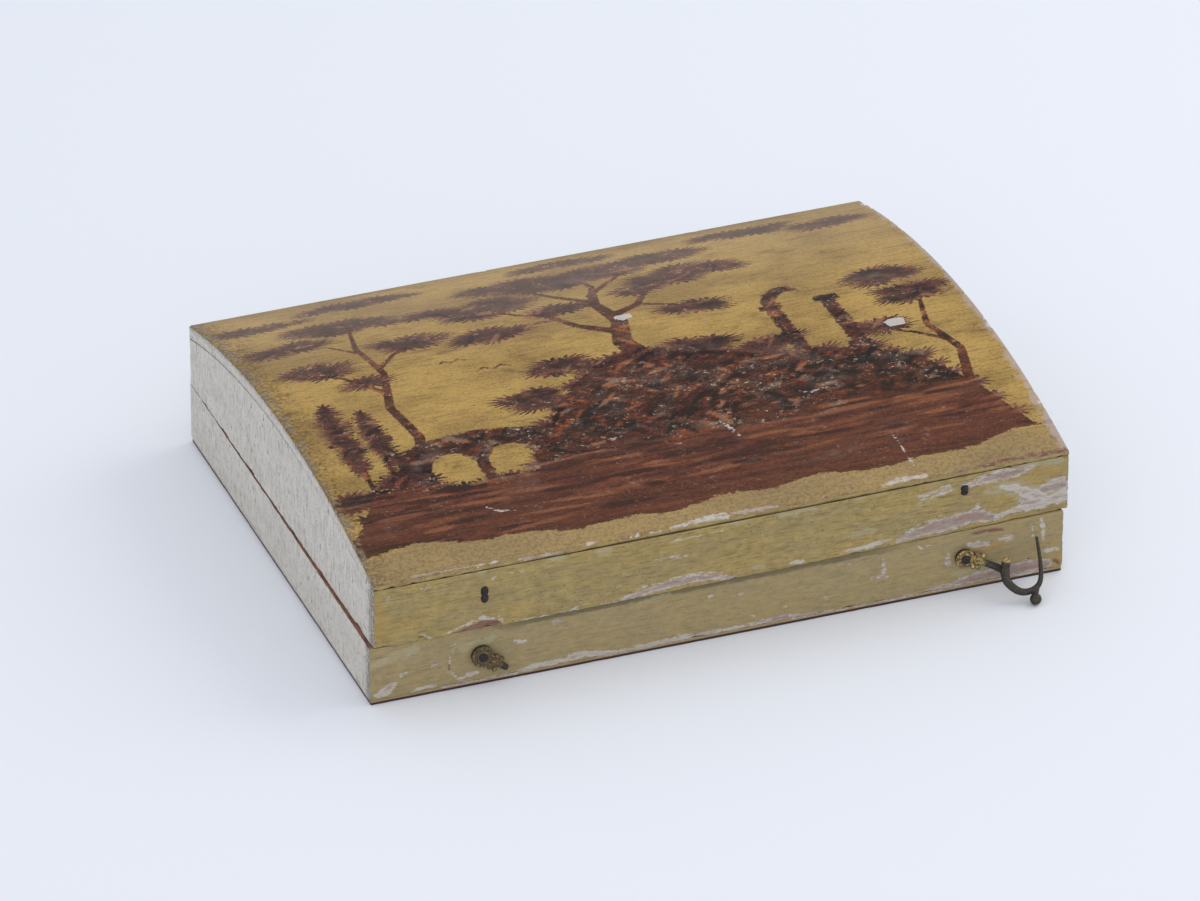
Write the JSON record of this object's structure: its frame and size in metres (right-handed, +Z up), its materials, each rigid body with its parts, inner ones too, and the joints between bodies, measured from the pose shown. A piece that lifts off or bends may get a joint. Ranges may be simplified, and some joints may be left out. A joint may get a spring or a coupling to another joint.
{
  "type": "ditty box",
  "caption": "Low wooden box for letters and keepsakes with a domed lid on wire-eye hinges and swivel hooks at the front.",
  "frame": {"origin": "centre of the underside, on the surface that the box stands on", "axes": "+X to the right along the front, +Y to the back, +Z up"},
  "size_m": [0.3226, 0.2715, 0.077],
  "materials": {
    "painted_wood": "ochre paint over gesso, varnished and worn",
    "end_paint": "pale grey cream paint, worn",
    "varnished_top": "ochre paint with darker decoration under aged varnish",
    "bottom_wood": "bare dark wood",
    "hook_brass": "cast, tarnished, traces of gilding",
    "iron": "forged, dark and rusted"
  },
  "bodies": {
    "base": {"base_bottom": "bottom_wood", "base_front": "painted_wood", "base_back": "painted_wood", "base_left_end": "end_paint", "base_right_end": "end_paint", "base_bottom_nails": "iron", "base_corner_nails": "iron", "right_hook_pin": "iron", "left_hook_pin": "iron", "left_hinge_base_eye": "iron", "right_hinge_base_eye": "iron"},
    "lid": {"lid_top": "varnished_top", "lid_front": "painted_wood", "lid_back": "painted_wood", "lid_left_end": "end_paint", "lid_right_end": "end_paint", "lid_corner_nails": "iron", "lid_top_nails": "iron", "right_catch": "iron", "left_catch": "iron", "left_hinge_lid_eye": "iron", "right_hinge_lid_eye": "iron"},
    "right_hook": {"right_hook": "hook_brass"},
    "left_hook": {"left_hook_stub": "hook_brass"}
  },
  "joints": [
    {"name": "lid_hinge", "type": "hinge", "parent": "base", "child": "lid", "pos_m": [0, 0.1234, 0.03105], "axis": [-1, 0, 0], "range_deg": [0, 165]},
    {"name": "right_hook_swivel", "type": "hinge", "parent": "base", "child": "right_hook", "pos_m": [0.1131, -0.1217, 0.0171], "axis": [0, -1, 0], "range_deg": [0, 77]},
    {"name": "left_hook_swivel", "type": "hinge", "parent": "base", "child": "left_hook", "pos_m": [-0.1096, -0.1217, 0.0152], "axis": [0, -1, 0], "range_deg": [-205, 92]}
  ]
}
